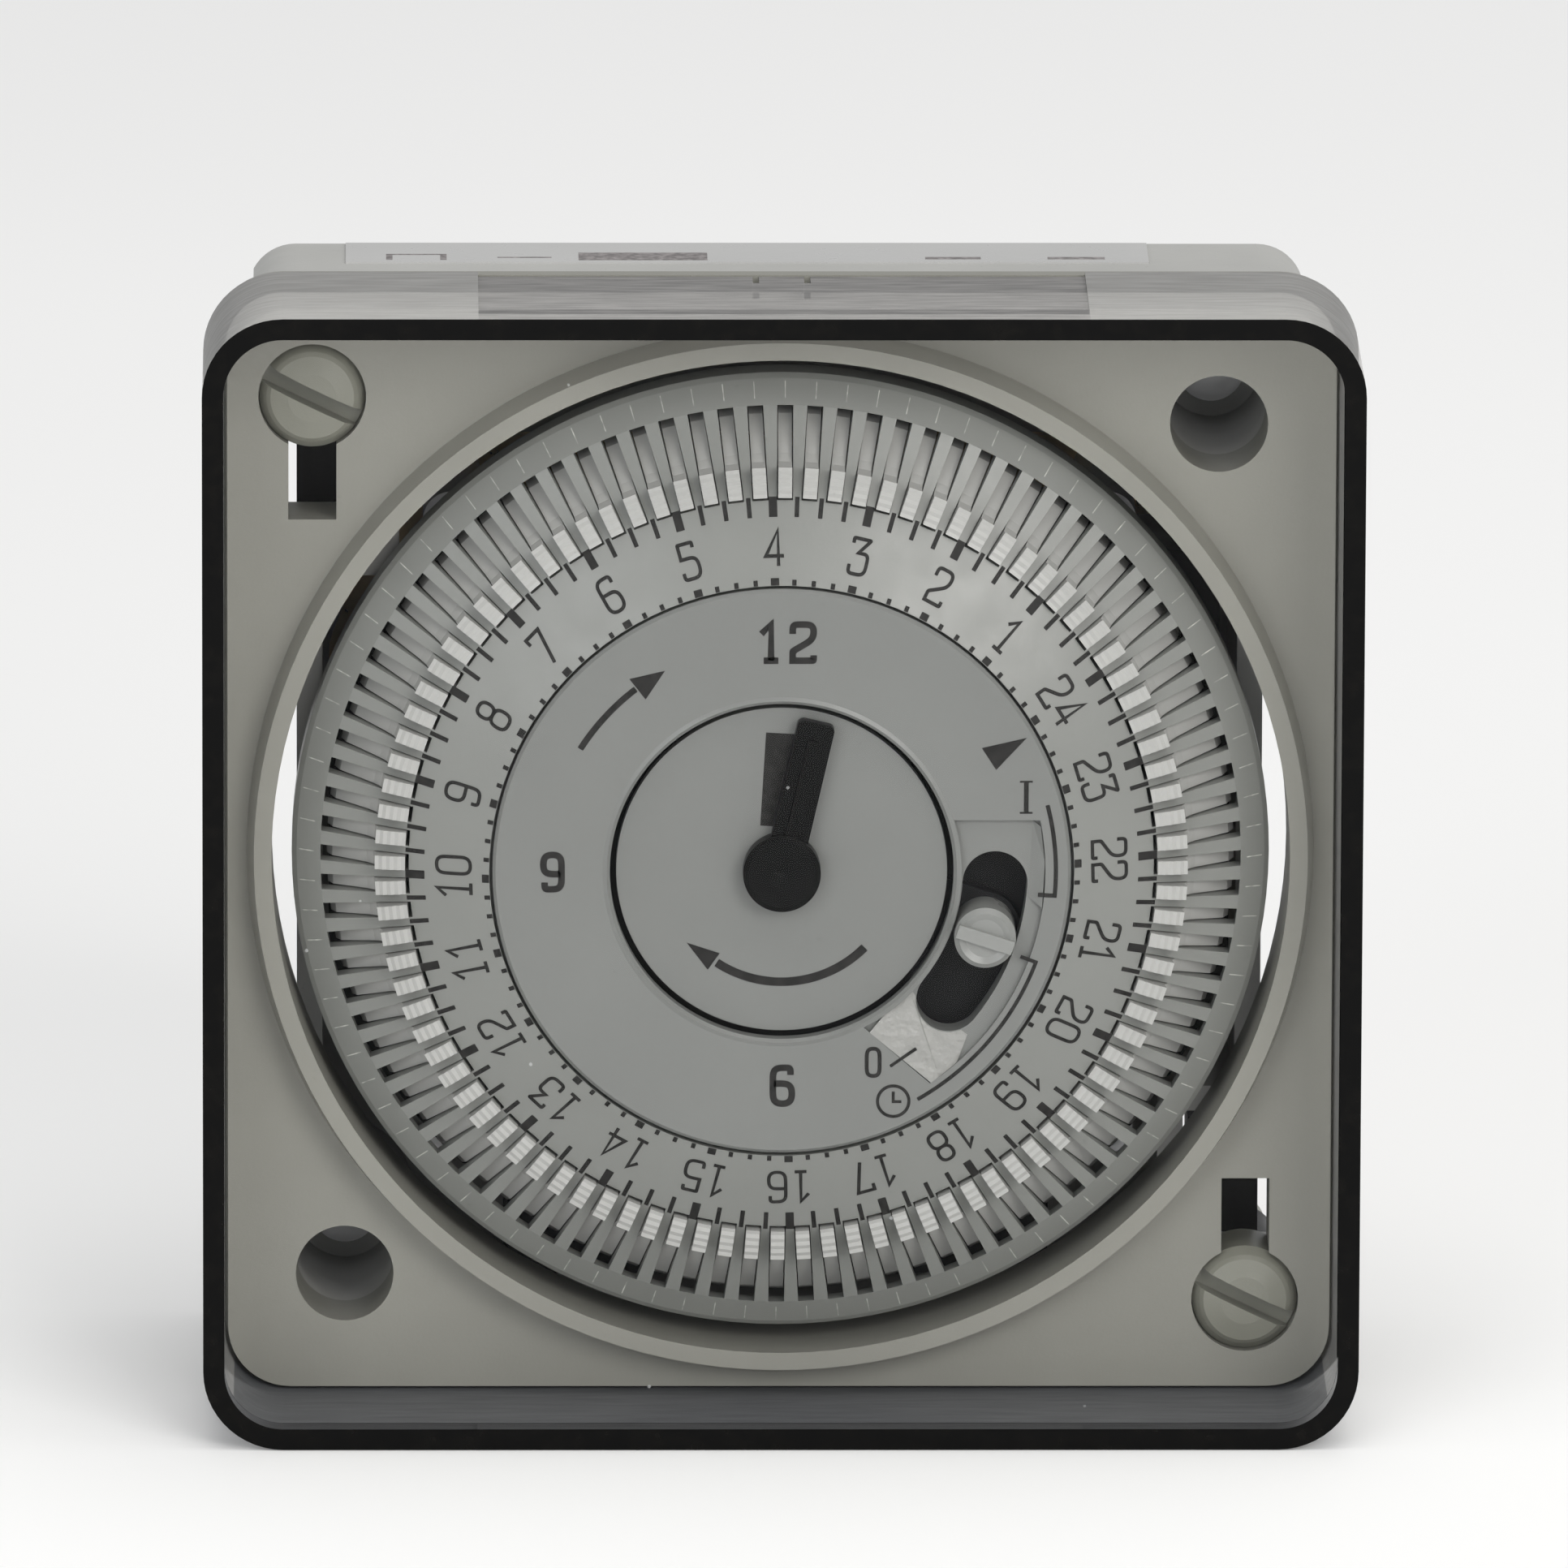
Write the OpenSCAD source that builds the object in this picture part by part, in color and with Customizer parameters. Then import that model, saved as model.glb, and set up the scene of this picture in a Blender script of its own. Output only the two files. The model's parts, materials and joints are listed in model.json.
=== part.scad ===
// Programmable 24 hour time switch, 72 mm square, for wall or panel mounting.
// X is right, Z is up and -Y is the front, all seen from the front.
// The origin is the centre of the back face. Depths are measured back from the front of the hood.

/* [Case] */
// Width and height of the clear hood
hood_w = 72; // [71.8:0.1:73]
// Depth of the whole timer
depth = 36; // [36:1:40]
// Width and height of the rear case
case_w = 66.6; // [66.2:0.1:67.2]
// Wall of the clear hood
hood_wall = 1.3; // [1.1:0.1:1.4]

/* [Programme dial] */
// Thickness of a tappet
tappet_t = 0.86; // [0.7:0.02:0.9]
// Height of the dial's rim behind its front edge
dial_rim_h = 2.3; // [1.5:0.1:2.6]

/* [Clock] */
// Radius of the hour disc
hour_disc_r = 10.3; // [9:0.1:10.5]
// Length of the minute pointer
pointer_l = 9.8; // [8:0.1:10]

/* [Hidden] */
$fn = 48;
eps = 0.01;
running = 0.06;     // radial clearance of a running fit

// Depths behind the front of the hood
pane_t = 1.6;
collar_d = 7.8;     // front of the collar round the dial
plate_d = 10.3;     // front of the housing's plate
flange_d = 14.4;    // front of the flange that the hood's edge meets
shoulder_d = 15.5;  // back of the flange, which sits on the panel
fascia_d = 4.2;
ring_edge_d = 4.35; // inner edge of the dial's sloping number ring
number_d = 6.44;    // outer edge of the number ring, at the tappets
ring_gear_d = 13.4;
chassis_d = 16.4;   // front of the movement's front plate
chassis_t = 1.2;
back_plate_d = 33;
case_floor_d = 34;

// Hood and housing
hood_r = 5;
plate_w = 69;
flange_w = 71.6;
flange_r = 4.8;
plate_r = 3.9;
skirt_t = 1.8;
skin_t = 2.2;
well_r = 31.75;
collar_r = 32.85;
key_x = 29.2;       // keyholes, at upper left and lower right
key_z = 28.9;
key_r = 3.35;
key_slot_w = 3;
key_slot_end = 21.1;
hole_c = 27.2;      // screw holes, at upper right and lower left
hole_head_r = 3.06;
hole_r = 2.1;
hole_floor_d = 27;

// Case
case_r = 3;
case_wall = 1.6;
notch_x = 25.4;     // corner notches that hold the claws
notch_z = 18;
channel_x = 30.2;   // shallow channels along both sides
channel_z = 22;
case_screw_x = 20.5;
case_screw_z = 30.3;
screw_r = 0.9;

// Dial and tappets
dial_r = 30.5;
dial_turn = -1.5;   // angle of the dial at rest, clockwise
bore_r = 17.7;
pivot_r = 23.4;     // ring on which the tappets turn
pivot_d = 12.2;
wire_r = 0.35;
slot_w = 1;
slot_in_r = 23.2;
slot_out_r = 28.7;
tip_r = 6.35;       // tip of a tappet, from its pivot
tappets = 96;
step = 360 / tappets;
free = 12;          // tappets that turn on their own, at the top of the dial
group = (tappets - free) / 4;

// Wheels: [teeth, module]
cannon = [12, 0.25];
minute = [36, 0.25];
hour_pinion = [12, 0.2];
hour = [48, 0.2];
transfer = [12, 0.4];
idler = [27, 0.4];
ring = [96, 0.4];
drive = [48, 0.3];
motor_gear = [12, 0.3];
motion = [-6, 0];   // arbor between the minute arbor and the idler
idler_c = [-13.8, 0];
motor_out = [0, -9];
arbor_r = 0.8;
hour_tube_r = 1.5;

// Fascia and override switch, with angles clockwise from the top
fascia_r = 18;
well_hole_r = 10.7;
knob_a = 107.9;
knob_track_r = 13.3;
knob_r = 1.92;
track_a0 = 93.4;
track_a1 = 128.4;

// Motor, switch and terminals
motor_c = [-11, -4.5];
motor_r = 14.5;
motor_d = 20.6;
trip_c = [23.6, 13.1];
switch_x = [8.5, 27.6];
switch_z = [7.6, 17.4];
switch_d = [18.4, 29];
blade_x = 11;       // pivot of the moving blade
blade_d = 21.2;
pillar_c = [20.5, 19.5];
terminals = 5;
terminal_pitch = 6.8;
terminal_z = [-31, -21.9];
terminal_d = 25.5;

function pt(r, d) = [r, depth - d];
function polar(r, a) = [r * sin(a), r * cos(a)];
function pitch_r(w) = w[0] * w[1] / 2;

// A flat shape seen from the front, made solid between two depths
module slab(d0, d1)
    translate([0, d1 - depth, 0]) rotate([90, 0, 0]) linear_extrude(d1 - d0) children();

// A profile of radius and depth, turned round an axis that runs from front to back
module lathe(c = [0, 0])
    translate([c[0], 0, c[1]]) rotate([90, 0, 0]) rotate_extrude() children();

// A profile of depth and height, made solid across X
module radial_plate(t)
    translate([-t / 2, 0, 0]) rotate([90, 0, 90]) linear_extrude(t) children();

module disc(r, d0, d1, c = [0, 0])
    slab(d0, d1) translate(c) circle(r);

module tube(r1, r0, d0, d1, c = [0, 0])
    slab(d0, d1) translate(c) difference() {
        circle(r1);
        circle(r0);
    }

module rounded_square(w, r) {
    square([w - 2 * r, w], center = true);
    square([w, w - 2 * r], center = true);
    for (x = [-1, 1], y = [-1, 1])
        translate([x, y] * (w / 2 - r)) circle(r);
}

module rectangle(x0, x1, z0, z1)
    translate([x0, z0]) square([x1 - x0, z1 - z0]);

// A pie slice between two angles clockwise from the top
module sector(r, a0, a1)
    polygon(concat([[0, 0]], [for (i = [0 : 8]) polar(r, a0 + (a1 - a0) * i / 8)]));

// Draws a flat shape at the upper left corner and, half a turn round, at the lower right
module both_ends()
    for (a = [0, 180]) rotate(a) children();

// --- Toothed wheels -------------------------------------------------------

// One tooth of an outer wheel as radii and angles, root to root, thinned for backlash
function tooth(w) = let (r = pitch_r(w), m = w[1], half = 90 / w[0]) [
    [r - 1.25 * m, -half * 1.3], [r - 0.4 * m, -half], [r, -half * 0.82], [r + 0.85 * m, -half * 0.36],
    [r + 0.85 * m, half * 0.36], [r, half * 0.82], [r - 0.4 * m, half], [r - 1.25 * m, half * 1.3]
];

// An outer wheel drawn as one outline, its first tooth turned anticlockwise from the top
module wheel(w, bore, turn = 0)
    difference() {
        polygon([
            for (i = [0 : w[0] - 1], p = tooth(w)) polar(p[0], p[1] - turn + i * 360 / w[0])
        ]);
        circle(bore);
    }

// The gap in an inner ring of teeth that a wheel's tooth enters, pointing up
module ring_gap(w) {
    r = pitch_r(w);
    m = w[1];
    half = 90 / w[0];
    polygon([
        [0, 0], polar(r - m, -half * 1.7), polar(r, -half * 1.18), polar(r + 1.2 * m, -half * 0.64),
        polar(r + 1.2 * m, half * 0.64), polar(r, half * 1.18), polar(r - m, half * 1.7)
    ]);
}

// --- Hood, housing and case ----------------------------------------------

module clear_hood() color([0.85, 0.88, 0.9, 0.3]) {
    inner_w = hood_w - 2 * hood_wall;
    hood_end_d = flange_d - 0.05;
    grip_w = 37.8;
    grip_t = 0.3;
    difference() {
        slab(0, hood_end_d) rounded_square(hood_w, hood_r);
        slab(pane_t, hood_end_d + eps) rounded_square(inner_w, hood_r - hood_wall);
        // Finger recesses, top and bottom
        for (s = [-1, 1])
            slab(3, hood_end_d + eps) translate([0, s * hood_w / 2])
                square([grip_w, 2 * grip_t], center = true);
        // Slits beside the snap lugs
        for (s = [-1, 1], x = [-1.6, 1.6])
            slab(12.4, hood_end_d + eps) translate([x, s * hood_w / 2]) square([0.4, 4], center = true);
    }
}

module keyhole() {
    translate([-key_x, key_z]) circle(key_r);
    rectangle(-key_x - key_slot_w / 2, -key_x + key_slot_w / 2, key_slot_end, key_z);
}

module housing_bosses() {
    translate([hole_c, hole_c]) circle(hole_head_r + 1.3);
    for (s = [-1, 1]) translate([s * case_screw_x, case_screw_z]) circle(2);
    translate([-key_x, key_z]) circle(key_r + 0.9);
    rectangle(-key_x - 2.4, -key_x + 2.4, key_slot_end - 0.9, key_z);
}

module front_housing() color([0.52, 0.52, 0.49]) {
    difference() {
        union() {
            slab(plate_d, shoulder_d) rounded_square(plate_w, plate_r);
            slab(flange_d, shoulder_d) rounded_square(flange_w, flange_r);
            lathe() polygon([pt(well_r - 1, plate_d + 1), pt(well_r - 1, collar_d), pt(collar_r, collar_d),
                pt(collar_r + 0.45, plate_d), pt(collar_r + 0.45, plate_d + 1)]);
        }
        disc(well_r, collar_d - eps, shoulder_d + eps);
        slab(plate_d + skin_t, shoulder_d + eps) difference() {
            rounded_square(plate_w - 2 * skirt_t, plate_r - skirt_t);
            circle(well_r + 1.3);
            both_ends() housing_bosses();
        }
        slab(plate_d - eps, shoulder_d + eps) both_ends() keyhole();
        slab(plate_d - eps, shoulder_d + eps) both_ends() translate([hole_c, hole_c]) circle(hole_head_r);
        slab(plate_d + 1.4, shoulder_d + eps) both_ends()
            for (s = [-1, 1]) translate([s * case_screw_x, case_screw_z]) circle(screw_r);
    }
}

module case_outline()
    difference() {
        rounded_square(case_w, case_r);
        both_ends() {
            rectangle(-case_w, -notch_x, notch_z, case_w / 2 - case_wall);
            rectangle(-case_w, -channel_x, -channel_z, channel_z);
        }
    }

module case_bosses() {
    translate([hole_c, hole_c]) circle(hole_head_r + 1.1);
    for (s = [-1, 1]) translate([s * case_screw_x, case_screw_z]) circle(2.7);
}

module case_cavity()
    difference() {
        rounded_square(case_w - 2 * case_wall, case_r - case_wall);
        both_ends() {
            rectangle(-case_w, case_wall - notch_x, notch_z - case_wall, case_w);
            rectangle(-case_w, case_wall - channel_x, -channel_z - case_wall, channel_z + case_wall);
            case_bosses();
        }
    }

module rear_case() color([0.72, 0.72, 0.71]) {
    difference() {
        union() {
            difference() {
                slab(shoulder_d, depth) case_outline();
                slab(shoulder_d - eps, case_floor_d) case_cavity();
            }
            // Seats for the fixing screws, in front of the claws
            slab(shoulder_d, shoulder_d + 1.5) both_ends() intersection() {
                rounded_square(case_w, case_r);
                rectangle(-case_w, -notch_x, 26.2, case_w);
            }
        }
        slab(shoulder_d - eps, hole_floor_d) both_ends() translate([hole_c, hole_c]) circle(hole_head_r);
        slab(hole_floor_d - eps, depth + eps) both_ends() translate([hole_c, hole_c]) circle(hole_r);
        slab(shoulder_d - eps, depth) both_ends() translate([-key_x, key_z]) circle(1.98);
        slab(shoulder_d - eps, depth + eps) both_ends()
            for (s = [-1, 1]) translate([s * case_screw_x, case_screw_z]) circle(1);
        slab(20, depth + eps) both_ends()
            for (s = [-1, 1]) translate([s * case_screw_x, case_screw_z]) circle(1.9);
        slab(case_floor_d - eps, depth + eps) rectangle(-17.2, 17.2, terminal_z[0], terminal_z[1]);
    }
}

module rating_label() color([0.78, 0.78, 0.77])
    slab(29.8, 35.7) rectangle(-27.15, 23.35, case_w / 2, case_w / 2 + 0.12);

module case_screws() color([0.7, 0.7, 0.72])
    for (x = [-1, 1], z = [-1, 1]) {
        c = [x * case_screw_x, z * case_screw_z];
        difference() {
            union() {
                disc(screw_r, 12, 20, c);
                disc(1.7, 20, 21.6, c);
            }
            slab(21, 21.7) translate(c) for (a = [0, 90]) rotate(a) square([2.2, 0.5], center = true);
        }
    }

module fixing_screw(turn) {
    c = [-key_x, key_z];
    difference() {
        lathe(c) polygon([pt(0, 9.75), pt(1.5, 9.85), pt(2.6, 10.1), pt(2.85, 10.35), pt(key_r - running, 11),
            pt(key_r - running, shoulder_d - 0.1), pt(1.9, shoulder_d - 0.1), pt(1.9, 30), pt(1.2, 31),
            pt(0, 31)]);
        slab(9, 11.6) translate(c) rotate(turn) square([8, 1.1], center = true);
    }
}

module fixing_screw_upper() color([0.6, 0.6, 0.57])
    fixing_screw(-26);

module fixing_screw_lower() color([0.6, 0.6, 0.57])
    rotate([0, 180, 0]) fixing_screw(-26);

// The claw's arm rests along the case and swings out through a quarter turn
module clamp_claw()
    slab(17.6, 25) difference() {
        union() {
            translate([-key_x, key_z]) circle(2.5);
            rectangle(-channel_x, -25.8, 18.9, key_z);
        }
        translate([-key_x, key_z]) circle(1.9 + running);
    }

module clamp_claw_upper() color([0.1, 0.1, 0.1])
    clamp_claw();

module clamp_claw_lower() color([0.1, 0.1, 0.1])
    rotate([0, 180, 0]) clamp_claw();

// --- Fascia and dial ------------------------------------------------------

// The kidney shaped slot, as round ends joined by a band
module track(half) {
    difference() {
        intersection() {
            circle(knob_track_r + half);
            sector(20, track_a0, track_a1);
        }
        circle(knob_track_r - half);
    }
    for (a = [track_a0, track_a1]) translate(polar(knob_track_r, a)) circle(half);
}

module fascia_disc() color([0.52, 0.52, 0.5]) {
    ramp_d = 0.45;
    difference() {
        union() {
            lathe() polygon([pt(well_hole_r, fascia_d + 0.1), pt(well_hole_r + 0.2, fascia_d - 0.1),
                pt(well_hole_r + 0.45, fascia_d), pt(fascia_r - 0.2, fascia_d), pt(fascia_r, fascia_d + 0.2),
                pt(fascia_r, fascia_d + 1), pt(well_hole_r, fascia_d + 1)]);
            // Wall around the override slot
            slab(fascia_d + 0.9, fascia_d + 2.5) track(2.5);
        }
        slab(fascia_d - eps, fascia_d + ramp_d) intersection() {
            difference() {
                circle(16.4);
                circle(11.2);
            }
            polygon([[9, 3.3], [20, 3.3], [20, -20], [14, -17.58], [4, -8.98], [4, -3]]);
        }
        slab(fascia_d - 1, fascia_d + 2.6) track(2.02);
    }
}

module dial_bearing() color([0.3, 0.3, 0.3]) {
    wall_r = bore_r - running;
    difference() {
        union() {
            tube(wall_r, 16.2, fascia_d + 1, 13.2);
            // Floor with the sleeve that carries the override arm and the hour tube
            disc(16.3, 8, 9);
            disc(2.6, 6.7, 9);
            slab(13.1, chassis_d) intersection() {
                difference() {
                    circle(wall_r - 0.2);
                    circle(15.2);
                }
                for (a = [60, 120, 180]) rotate(-a) sector(20, -12, 12);
            }
        }
        disc(hour_tube_r + running, 5, 10);
        disc(1.4, 8.5, 10, motion);
    }
}

module programme_dial() color([0.52, 0.53, 0.51]) {
    groove = wire_r + 0.03;
    difference() {
        lathe() polygon([
            pt(bore_r, 6.1), pt(fascia_r + 0.2, 6.1), pt(fascia_r + 0.2, ring_edge_d), pt(23.45, number_d),
            pt(28.7, 8.9), pt(30.2, 9.95), pt(dial_r, 10.3),
            pt(dial_r, 10.3 + dial_rim_h), pt(29.4, 10.3 + dial_rim_h), pt(29.4, 10.9), pt(28.9, 10.45),
            pt(25.2, 8.35), pt(25.2, ring_gear_d), pt(pivot_r + groove, ring_gear_d),
            pt(pivot_r + groove, pivot_d - groove), pt(pivot_r - groove, pivot_d - groove),
            pt(pivot_r - groove, ring_gear_d), pt(20.6, ring_gear_d), pt(20.6, 7.5), pt(19, 7.5),
            pt(19, ring_gear_d - 0.2), pt(bore_r, ring_gear_d - 0.2)
        ]);
        for (i = [0 : tappets - 1])
            rotate([0, (i + 0.5) * step + dial_turn, 0]) radial_plate(slot_w) polygon([
                [-depth, slot_in_r], [-depth, slot_out_r], [ring_gear_d + 1 - depth, slot_out_r],
                [ring_gear_d + 1 - depth, 22.3], [11 - depth, 22.3], [11 - depth, slot_in_r]
            ]);
    }
}

module tappet_pivot_ring() color([0.75, 0.75, 0.77])
    lathe() translate(pt(pivot_r, pivot_d)) circle(wire_r, $fn = 16);

module dial_ring_gear() color([0.3, 0.3, 0.3])
    slab(ring_gear_d, 14.8) difference() {
        circle(22.2);
        circle(pitch_r(ring) - ring[1]);
        for (i = [0 : ring[0] - 1]) rotate(i * step) ring_gap(ring);
    }

// --- Tappets --------------------------------------------------------------

function swing(r, a) = [-r * cos(a), r * sin(a)];

// A rocker whose ribbed tip stands out of its slot and whose tail works the switch
module tappet(i)
    rotate([0, (i + 0.5) * step + dial_turn, 0])
        translate([0, pivot_d - depth, pivot_r]) radial_plate(tappet_t) difference() {
            polygon(concat(
                [for (k = [0 : 8]) swing(tip_r - (k % 2) * 0.07, 0.4 + k * 2.15)],
                [swing(5.6, 18.6), swing(4.98, 23.5), swing(4.7, 31), swing(5.08, 64), swing(5.08, 75)],
                [swing(4.3, 90), swing(3.4, 105), swing(0.95, 140)],
                [for (a = [170 : 30 : 350]) swing(0.95, a)]
            ));
            circle(wire_r + running, $fn = 16);
        }

module tappet_group(n) color([0.82, 0.82, 0.8])
    for (i = [0 : group - 1]) tappet(free / 2 + n * group + i);

module tappets_right() tappet_group(0);

module tappets_lower_right() tappet_group(1);

module tappets_lower_left() tappet_group(2);

module tappets_left() tappet_group(3);

module free_tappet(n) color([0.82, 0.82, 0.8])
    tappet(n - 1 - free / 2);

module tappet_01() free_tappet(1);
module tappet_02() free_tappet(2);
module tappet_03() free_tappet(3);
module tappet_04() free_tappet(4);
module tappet_05() free_tappet(5);
module tappet_06() free_tappet(6);
module tappet_07() free_tappet(7);
module tappet_08() free_tappet(8);
module tappet_09() free_tappet(9);
module tappet_10() free_tappet(10);
module tappet_11() free_tappet(11);
module tappet_12() free_tappet(12);

// --- Hour and minute indication ------------------------------------------

module hour_disc() color([0.5, 0.5, 0.48])
    tube(hour_disc_r, hour_tube_r, 5, 6);

module hour_tube() color([0.8, 0.7, 0.4])
    tube(hour_tube_r, arbor_r + running, 5, 10.7);

module hour_wheel() color([0.8, 0.7, 0.4])
    slab(9.6, 10.6) wheel(hour, hour_tube_r, 3.75);

// The minute hub with its pointer, which has a ridge along it
module minute_pointer() color([0.06, 0.06, 0.06])
    rotate([0, 12.8, 0]) {
        half = 1.17;
        tip = 0.4;
        lathe() polygon([pt(0, 3.55), pt(0.9, 3.4), pt(2.1, 3.4), pt(2.42, 3.6), pt(2.42, 4.8),
            pt(arbor_r, 4.8), pt(arbor_r, 4.1), pt(0, 4.1)]);
        slab(3.9, 4.7) {
            for (s = [-1, 1]) translate([s * (half - tip), pointer_l - tip]) circle(tip);
            rectangle(-half, half, 1.2, pointer_l - tip);
            rectangle(tip - half, half - tip, 1.2, pointer_l);
        }
        slab(3.65, 4) rectangle(-0.3, 0.3, 1.5, pointer_l - half);
    }

module minute_arbor() color([0.75, 0.75, 0.77])
    disc(arbor_r, 4.1, 20);

module cannon_pinion() color([0.8, 0.7, 0.4])
    slab(11.6, 12.7) wheel(cannon, arbor_r);

module drive_wheel() color([0.8, 0.7, 0.4])
    slab(18.2, 19.2) wheel(drive, arbor_r, 3.75);

module minute_wheel() color([0.8, 0.7, 0.4])
    slab(11.7, 12.5) translate(motion) wheel(minute, arbor_r, 5);

module hour_pinion_wheel() color([0.8, 0.7, 0.4])
    slab(9.5, 11.7) translate(motion) wheel(hour_pinion, 0.6);

module transfer_pinion() color([0.85, 0.85, 0.82])
    slab(13.3, 15) translate(motion) wheel(transfer, arbor_r);

module motion_arbor() color([0.75, 0.75, 0.77])
    lathe(motion) polygon([pt(0, 9.2), pt(0.6, 9.2), pt(0.6, 11.7), pt(arbor_r, 11.7), pt(arbor_r, 17.8),
        pt(0, 17.8)]);

module dial_idler() color([0.85, 0.85, 0.82])
    slab(13.7, 14.8) translate(idler_c) wheel(idler, 1 + running, 10);

module idler_pin() color([0.75, 0.75, 0.77])
    lathe(idler_c) polygon([pt(0, 13.5), pt(1, 13.5), pt(1, 15.2), pt(1.8, 15.2), pt(1.8, chassis_d),
        pt(0, chassis_d)]);

// --- Movement -------------------------------------------------------------

module plate_outline()
    difference() {
        intersection() {
            rectangle(-28.2, 28.2, -21.6, 21.6);
            circle(29.3);
        }
        both_ends() rectangle(-30, 0.6 - notch_x + case_wall, notch_z - case_wall - 0.4, 30);
    }

module pillar_places()
    for (x = [-1, 1], z = [-1, 1]) translate([x * pillar_c[0], z * pillar_c[1]]) children();

module movement_front_plate() color([0.78, 0.72, 0.45])
    slab(chassis_d, chassis_d + chassis_t) difference() {
        plate_outline();
        circle(arbor_r + running);
        translate(motion) circle(arbor_r + running);
        translate(trip_c) circle(1.3 + running);
        pillar_places() circle(1);
    }

module movement_back_plate() color([0.78, 0.72, 0.45])
    slab(back_plate_d, case_floor_d) difference() {
        plate_outline();
        pillar_places() circle(1);
    }

module plate_pillars() color([0.75, 0.75, 0.77])
    for (x = [-1, 1], z = [-1, 1])
        lathe([x * pillar_c[0], z * pillar_c[1]]) polygon([
            pt(0, chassis_d), pt(1, chassis_d), pt(1, chassis_d + chassis_t), pt(1.8, chassis_d + chassis_t),
            pt(1.8, back_plate_d), pt(1, back_plate_d), pt(1, case_floor_d), pt(0, case_floor_d)
        ]);

module motor_can() color([0.72, 0.72, 0.74])
    difference() {
        disc(motor_r, motor_d + 0.8, back_plate_d, motor_c);
        disc(motor_r - 0.8, motor_d, back_plate_d - 0.8, motor_c);
    }

module motor_cover() color([0.7, 0.7, 0.72])
    slab(motor_d, motor_d + 0.8) difference() {
        translate(motor_c) circle(motor_r);
        translate(motor_out) circle(0.6 + running);
        translate(motor_c) circle(0.8 + running);
    }

module motor_coil() color([0.6, 0.3, 0.15])
    tube(13.2, 6.4, 23, back_plate_d - 0.8, motor_c);

module motor_rotor() color([0.25, 0.25, 0.27]) {
    disc(5.8, 23.4, 31, motor_c);
    disc(0.8, 20.2, 24, motor_c);
}

module motor_pinion() color([0.85, 0.85, 0.82]) {
    slab(18, 19.5) translate(motor_out) wheel(motor_gear, 0.6);
    disc(0.6, 17.8, 22.4, motor_out);
}

module override_arm() color([0.25, 0.25, 0.25])
    slab(6.8, 7.7) difference() {
        union() {
            circle(4);
            rotate(-knob_a) rectangle(-2.2, 2.2, 0, knob_track_r);
            translate(polar(knob_track_r, knob_a)) circle(2.2);
        }
        circle(2.6 + running);
    }

// A round knob with a ridge across its top
module override_knob() color([0.66, 0.66, 0.63])
    rotate([0, knob_a, 0]) {
        c = [0, knob_track_r];
        lathe(c) polygon([pt(0, 3.5), pt(1.2, 3.5), pt(1.6, 3.35), pt(knob_r, 3.7), pt(knob_r, 6.8),
            pt(0, 6.8)]);
        slab(3.05, 3.6) translate(c) square([0.85, 3.6], center = true);
    }

module trip_plunger() color([0.85, 0.85, 0.82])
    lathe(trip_c) polygon([pt(0, 13.9), pt(0.9, 13.9), pt(1.3, 14.3), pt(1.3, blade_d - 0.35),
        pt(0, blade_d - 0.35)]);

module switch_body() color([0.12, 0.12, 0.13])
    difference() {
        slab(switch_d[0], switch_d[1]) rectangle(switch_x[0], switch_x[1], switch_z[0], switch_z[1] - 1);
        slab(switch_d[0] + 1, switch_d[1] - 1)
            rectangle(switch_x[0] + 1, switch_x[1] - 1, switch_z[0] + 1, 20);
        slab(switch_d[0] - eps, switch_d[0] + 2) translate(trip_c) circle(1.3 + running);
    }

module switch_lid() color([0.2, 0.2, 0.2])
    slab(switch_d[0], switch_d[1]) rectangle(switch_x[0], switch_x[1], switch_z[1] - 1, switch_z[1]);

// The moving blade, turning on a pin at its left end
module contact_blade() color([0.8, 0.55, 0.3]) {
    z0 = switch_z[0] + 1.3;
    z1 = switch_z[1] - 1.3;
    translate([blade_x, blade_d - depth, z0]) cylinder(r = 0.6, h = z1 - z0, $fn = 24);
    slab(blade_d - 0.2, blade_d + 0.2) rectangle(blade_x, 25.6, z0 + 1, z1 - 1);
    disc(0.9, blade_d, blade_d + 1, [22, (z0 + z1) / 2]);
}

module fixed_contacts() color([0.8, 0.55, 0.3]) {
    c = [22, (switch_z[0] + switch_z[1]) / 2];
    slab(24.6, 25.1) rectangle(18, 25, switch_z[0] + 1, switch_z[1] - 2);
    disc(0.9, 23.4, 24.7, c);
    slab(25, switch_d[1] - 1) rectangle(18, 18.5, switch_z[0] + 1, switch_z[1] - 2);
}

module terminal_places()
    for (i = [0 : terminals - 1]) translate([(i - (terminals - 1) / 2) * terminal_pitch, 0]) children();

module terminal_block() color([0.15, 0.15, 0.16])
    difference() {
        slab(terminal_d, depth) rectangle(-17.2, 17.2, terminal_z[0], terminal_z[1]);
        slab(terminal_d + 1.2, depth + eps) terminal_places() {
            rectangle(-2.3, 2.3, -30, -26.6);
            translate([0, -24.3]) circle(1.8);
        }
    }

// Brass clamps at the foot of each wire hole, each beside its screw
module terminal_clamps() color([0.8, 0.7, 0.4]) {
    slab(terminal_d + 1.2, terminal_d + 5) terminal_places() difference() {
        rectangle(-2.1, 2.1, -29.8, -26.8);
        rectangle(-1.5, 1.5, -29.2, -27.4);
    }
    slab(terminal_d + 1.2, terminal_d + 6) terminal_places() difference() {
        translate([0, -24.3]) circle(1.65);
        translate([0, -24.3]) square([3.6, 0.5], center = true);
    }
}

// --- Every part, drawn alone or together ----------------------------------

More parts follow.
